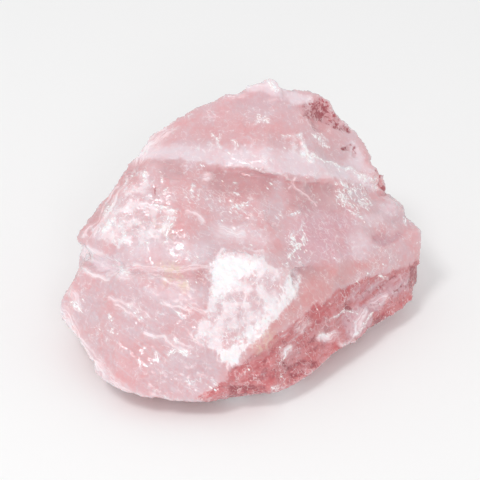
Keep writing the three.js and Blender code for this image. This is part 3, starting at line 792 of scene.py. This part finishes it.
def rose_quartz():
    """Cloudy pink quartz: pink in the depth, with milky bands, frosted white patches, hair-thin lines,
    white flecks that are partly painted glints, whitened edges that are partly painted highlights, red
    pits, painted shade in the wall's creases, and a wall whose darker reds are partly painted shade."""
    g = Graph("rose_quartz_crystal")
    place = g.node("ShaderNodeTexCoord").outputs["Object"]
    broad = g.noise(place, 8, 4)
    mottle = g.noise(place, 3, 4, 0.6)
    fine = g.noise(place, 1.1, 4, 0.65)
    grain = g.noise(place, 0.4, 3, 0.7)
    ledges = g.noise(g.drawn_out(place, RIDGE_WAY, 5), 1.4, 4, 0.6)
    upright = g.noise(g.drawn_out(place, UPRIGHT, 5), 0.7, 2, 0.6)
    soft = g.noise(place, 2.6, 1)
    fall_streaks = g.noise(g.drawn_out(place, FALL_LINE, 12), 0.7, 3, 0.6)
    fleck_strands = g.strands("fleck", 0.26, 4)
    line_strands = g.strands("line", 0.4, 12)
    wide_tone = g.value("wide_tone")
    mid_tone = g.value("mid_tone")
    small_tone = g.value("small_tone")
    shattered = g.seams(g.drawn_out(place, FALL_LINE, 2.5), 0.9, 0.07)
    upright_seams = g.seams(g.drawn_out(place, UPRIGHT, 3), 0.7, 0.08)
    cell = g.cells(g.drawn_out(place, FALL_LINE, 2.5), 0.4)
    lot = g.lot(cell, 0)
    wall_lot = g.lot(cell, 1)
    shard_lot = g.lot(g.cells(g.drawn_out(place, FALL_LINE, 2), 0.28), 0)
    swirls = g.noise(g.drawn_out(place, FALL_LINE, 1.6), 1.8, 3)
    contour = g.maths("ABSOLUTE", g.maths("SUBTRACT", swirls, 0.5))
    hairs = g.product(g.between(contour, 0.016, 0.004), g.between(mottle, 0.42, 0.56))

    # Calm places have fewer glints and softer tones.
    busy = g.between(g.value("calm"), 0, 1, 1, 0.2)
    rich = g.between(g.value("calm"), 0, 1, 1, 0.85)
    # The pinks of the stone.
    colour = g.mix(g.between(broad, 0.38, 0.66, 0, 0.7), PINK, DEEP_PINK)
    colour = g.mix(g.between(mottle, 0.38, 0.75, 0, 0.3), colour, MILKY)
    colour = g.mix(g.product(g.value("deep"), g.between(fine, 0.3, 0.7, 0.5, 0.95)), colour, DEEP_PINK)
    colour = g.mix(g.product(g.between(fine, 0.5, 0.7, 0, 0.4), rich), colour, MILKY)
    colour = g.mix(g.product(g.between(grain, 0.5, 0.32, 0, 0.4), rich), colour, DEEP_PINK)
    colour = g.mix(g.product(g.value("violet"), g.between(mottle, 0.3, 0.6, 0.5, 0.9)),
                   colour, VIOLET_PINK)

    # The strip above the wall, and the wall, whose reds are partly the stone's own and partly painted
    # shade.
    colour = g.mix(g.product(g.value("strip"), g.between(mottle, 0.3, 0.6, 0.9, 0.5)),
                   colour, STRIP_PINK)
    wall = g.ragged(g.value("wall"), fine, 0.9, 0.4)
    wall_colour = g.mix(g.between(ledges, 0.35, 0.6), WALL_RED, WALL_PINK)
    wall_colour = g.mix(g.product(g.value("red_wall"), g.between(ledges, 0.35, 0.6, 0.7, 0.1)),
                        wall_colour, WALL_RED)
    wall_colour = g.mix(g.between(small_tone, 0.8, 1, 0, 0.5), wall_colour, DARK_RED)
    wall_colour = g.mix(g.product(g.ragged(g.value("pale_wall"), ledges, 1.4, 0.4), 0.75),
                        wall_colour, WALL_PALE)
    wall_colour = g.mix(g.between(ledges, 0.6, 0.75, 0, 0.5), wall_colour, MILKY)
    specks = g.product(g.between(wall_lot, 0.8, 0.9), g.between(fine, 0.45, 0.6, 0, 0.6))
    wall_colour = g.mix(specks, wall_colour, DARK_RED)
    colour = g.mix(wall, colour, wall_colour)

    # Each scar has its own tone. Milky bands and lines, red pits, painted shade in the wall's creases and
    # warm spots lie over it.
    tones = g.maths("MULTIPLY_ADD", mid_tone, 0.5, g.product(wide_tone, 0.5))
    colour = g.mix(g.product(g.between(tones, 0.3, 0.9, 0, 0.2), busy), colour, MILKY)
    colour = g.mix(g.product(g.value("lower_left"), g.between(fall_streaks, 0.5, 0.68, 0, 0.5)),
                   colour, MILKY)
    milk = g.ragged(g.value("milk"), fine, 0.5, 0.42)
    colour = g.mix(g.product(milk, g.between(mottle, 0.3, 0.6, 0.55, 0.9)), colour, MILKY)
    line = g.product(g.value("line"), g.between(line_strands, 0.35, 0.65, 0.2, 0.85))
    colour = g.mix(line, colour, LINE)
    # The red marks: pits, dark spots and stubs, and painted shade in the wall's concave creases.
    dark_bits = g.between(g.maths("MULTIPLY_ADD", small_tone, 0.6, g.product(lot, 0.4)), 0.3, 0.7, 1, 0.2)
    red = g.product(g.ragged(g.value("red"), fine, 1.2, 0.3), dark_bits)
    colour = g.mix(red, colour, DARK_RED)
    colour = g.mix(g.product(g.value("warm"), g.between(fine, 0.4, 0.6, 0, 0.7)), colour, WARM)

    # Frosted patches.
    angular = g.maths("MULTIPLY_ADD", mid_tone, 0.7, g.product(small_tone, 0.3))
    veil = g.product(g.between(soft, 0.38, 0.6, 0.2, 0.8), g.between(angular, 0, 1, 0.8, 1))
    bloom = g.maths("MAXIMUM", veil, g.product(upright_seams, g.between(upright, 0.45, 0.65)))
    bloom = g.product(g.ragged(g.value("bloom"), fine, 1, 0.35), bloom)
    frost = g.ragged(g.value("frost"), upright, 1.7, 0.4)
    colour = g.mix(bloom, colour, FROSTED)
    colour = g.mix(frost, colour, FROST_WHITE)
    frost = g.maths("MAXIMUM", bloom, frost)

    # White flecks that are partly painted glints, a painted glow round them, and the hair-thin lines of
    # hidden cracks.
    clusters = g.product(g.between(g.noise(place, 4.5, 3, 0.6), 0.52, 0.64, 0, 0.45), busy)
    crushed = g.maths("MAXIMUM", g.value("glint"), g.between(g.value("white"), 0.05, 0.6, 0, 0.6))
    lines = g.product(shattered, g.maths("MAXIMUM", clusters, crushed), g.between(fine, 0.42, 0.58))
    # Random small cells painted white as painted glints, crowded where the skin glints.
    painted_glint_flecks = g.product(g.between(lot, 0.93, 0.97), g.between(mottle, 0.52, 0.62), busy)
    crowded_painted_glints = g.product(g.between(lot, 0.75, 0.85), g.ragged(g.value("glint"), fine, 1.4))
    painted_glint_flecks = g.product(g.maths("MAXIMUM", painted_glint_flecks, crowded_painted_glints),
                       g.between(cell.outputs["Distance"], 0.6, 0.3))
    white = g.ragged(g.product(g.value("white"), 0.72), fleck_strands, 3.2, 0.25)
    near_white = g.maths("MAXIMUM", g.between(g.value("white"), 0, 0.15), clusters)
    white = g.product(white, near_white, g.between(shard_lot, 0.2, 0.7, 0.1, 1))
    white = g.maths("MAXIMUM", white, painted_glint_flecks)
    white = g.maths("MAXIMUM", white, lines)
    # A faint whitish haze round the white marks: partly milky haze, partly a painted glow round the
    # painted glints.
    colour = g.mix(g.product(g.value("white"), 0.35), colour, FROSTED)
    colour = g.mix(white, colour, WHITE)
    # Convex edges are whitened: partly stress-whitened quartz, partly a painted highlight along the
    # ridges.
    colour = g.mix(g.product(g.value("edge"), g.between(fine, 0.3, 0.6)), colour, FROSTED)
    colour = g.mix(g.product(hairs, 0.55), colour, LINE)

    # The white parts let less light through, and glinting parts are full of small tilted faces.
    opaque = g.maths("MAXIMUM", g.maths("MAXIMUM", frost, g.product(milk, 0.7)),
                     g.maths("MAXIMUM", white, line))
    clear = g.maths("MAXIMUM", g.product(wall, 0.3), g.product(g.value("deep"), 0.6))
    see_through = g.product(g.between(clear, 0, 1, 0.12, 0.3), g.between(opaque, 0, 0.8, 1, 0))
    crystals = g.maths("MAXIMUM", g.value("glint"), frost)
    roughness = g.between(frost, 0, 1, 0.15, 0.35)
    middle = (0.5, 0.5, 0.5)
    tilt = g.vector("SUBTRACT", g.cells(place, 0.9).outputs["Color"], middle).outputs[0]
    small_tilt = g.vector("SUBTRACT", cell.outputs["Color"], middle).outputs[0]
    tilts = g.vector("ADD", g.scaled(tilt, 0.12),
                     g.scaled(small_tilt, g.between(crystals, 0, 1, 0.1, 0.45))).outputs[0]
    normal = g.vector("ADD", g.node("ShaderNodeNewGeometry").outputs["Normal"], tilts).outputs[0]
    normal = g.vector("NORMALIZE", normal, (0, 0, 0)).outputs[0]
    bump = g.node("ShaderNodeBump", {"Height": grain, "Distance": 0.05 * MM, "Strength": 0.3,
                                     "Normal": normal})
    shader = g.node("ShaderNodeBsdfPrincipled",
                    {"Base Color": colour, "Roughness": roughness, "IOR": QUARTZ_IOR,
                     "Transmission Weight": see_through,
                     "Subsurface Weight": SCATTER_SHARE, "Subsurface Radius": SCATTER_BY_COLOUR,
                     "Subsurface Scale": SCATTER_DEPTH * MM, "Normal": bump.outputs["Normal"]})
    output = g.node("ShaderNodeOutputMaterial")
    g.tree.links.new(shader.outputs["BSDF"], output.inputs["Surface"])
    return g.material


# What the material reads from the skin, beside its edges.
SHADED_BY = ("frost", "bloom", "white", "glint", "milk", "line", "deep", "violet", "warm", "wall",
             "red_wall", "pale_wall", "red", "calm", "strip", "lower_left", "wide_tone", "mid_tone",
             "small_tone", "fleck_across", "fleck_along", "line_across", "line_along")


def chunk():
    """The visible stone."""
    piece = even_copy(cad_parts["rose_quartz_chunk"])
    mesh = piece.data
    skin = Skin(mesh)
    regions = measure(skin)
    carve(piece, skin, regions)
    bulge = Skin(mesh).bulge(8)
    # Convex edges, which the material whitens: partly stress-whitened, partly a painted highlight.
    keep(mesh, "edge", 0.75 * smoothstep(bulge, 0.1, 0.4))
    # Painted shade: the wall's concave creases are painted dark red.
    painted_crease_shade = 0.45 * smoothstep(bulge, -0.12, -0.5) * regions["wall"]
    regions["red"] = np.maximum(regions["red"], painted_crease_shade)
    for name in SHADED_BY:
        keep(mesh, name, regions[name])
    thin_out(piece, (regions["away"] > 0.9) & (skin.points[:, 2] > 1))
    merge_base(piece.data)
    piece.data.materials.append(rose_quartz())
    for face in piece.data.polygons:
        face.use_smooth = True
    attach(piece, "root")
    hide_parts("rose_quartz_chunk")


# The floor, the light and the camera

def floor():
    """The plain pale floor."""
    bpy.ops.mesh.primitive_plane_add(size=FLOOR_WIDTH)
    plane = bpy.context.object
    plane.name = "floor"
    g = Graph("pale_floor")
    shader = g.node("ShaderNodeBsdfPrincipled", {"Base Color": FLOOR_GREY, "Roughness": 0.9,
                                                 "Specular IOR Level": 0.2})
    output = g.node("ShaderNodeOutputMaterial")
    g.tree.links.new(shader.outputs["BSDF"], output.inputs["Surface"])
    plane.data.materials.append(g.material)


def softbox(name, place, size, power):
    """A square light in mm that faces the chunk."""
    light = bpy.data.lights.new(name, "AREA")
    light.shape = "SQUARE"
    light.size = size * MM
    light.energy = power
    holder = bpy.data.objects.new(name, light)
    holder.location = Vector(place) * MM
    holder.rotation_euler = (Vector(AIM) - holder.location).to_track_quat("-Z", "Y").to_euler()
    bpy.context.scene.collection.objects.link(holder)


def studio():
    """Even white light from all round, and the softboxes."""
    world = bpy.data.worlds.new("studio")
    world.use_nodes = True
    background = world.node_tree.nodes["Background"]
    background.inputs["Color"].default_value = (1, 1, 1, 1)
    background.inputs["Strength"].default_value = SKY_STRENGTH
    bpy.context.scene.world = world
    for name, (place, size, power) in SOFTBOXES.items():
        softbox(name, place, size, power)
    bpy.context.scene.view_settings.view_transform = "Standard"


def camera():
    """The camera, where the photograph was seen from."""
    data = bpy.data.cameras.new("camera")
    data.lens = LENS
    data.sensor_width = SENSOR
    data.clip_start = CLIP_START
    holder = bpy.data.objects.new("camera", data)
    holder.location = Vector(VIEWER)
    holder.rotation_euler = (Vector(AIM) - Vector(VIEWER)).to_track_quat("-Z", "Y").to_euler()
    bpy.context.scene.collection.objects.link(holder)
    bpy.context.scene.camera = holder


camera()
chunk()
floor()
studio()
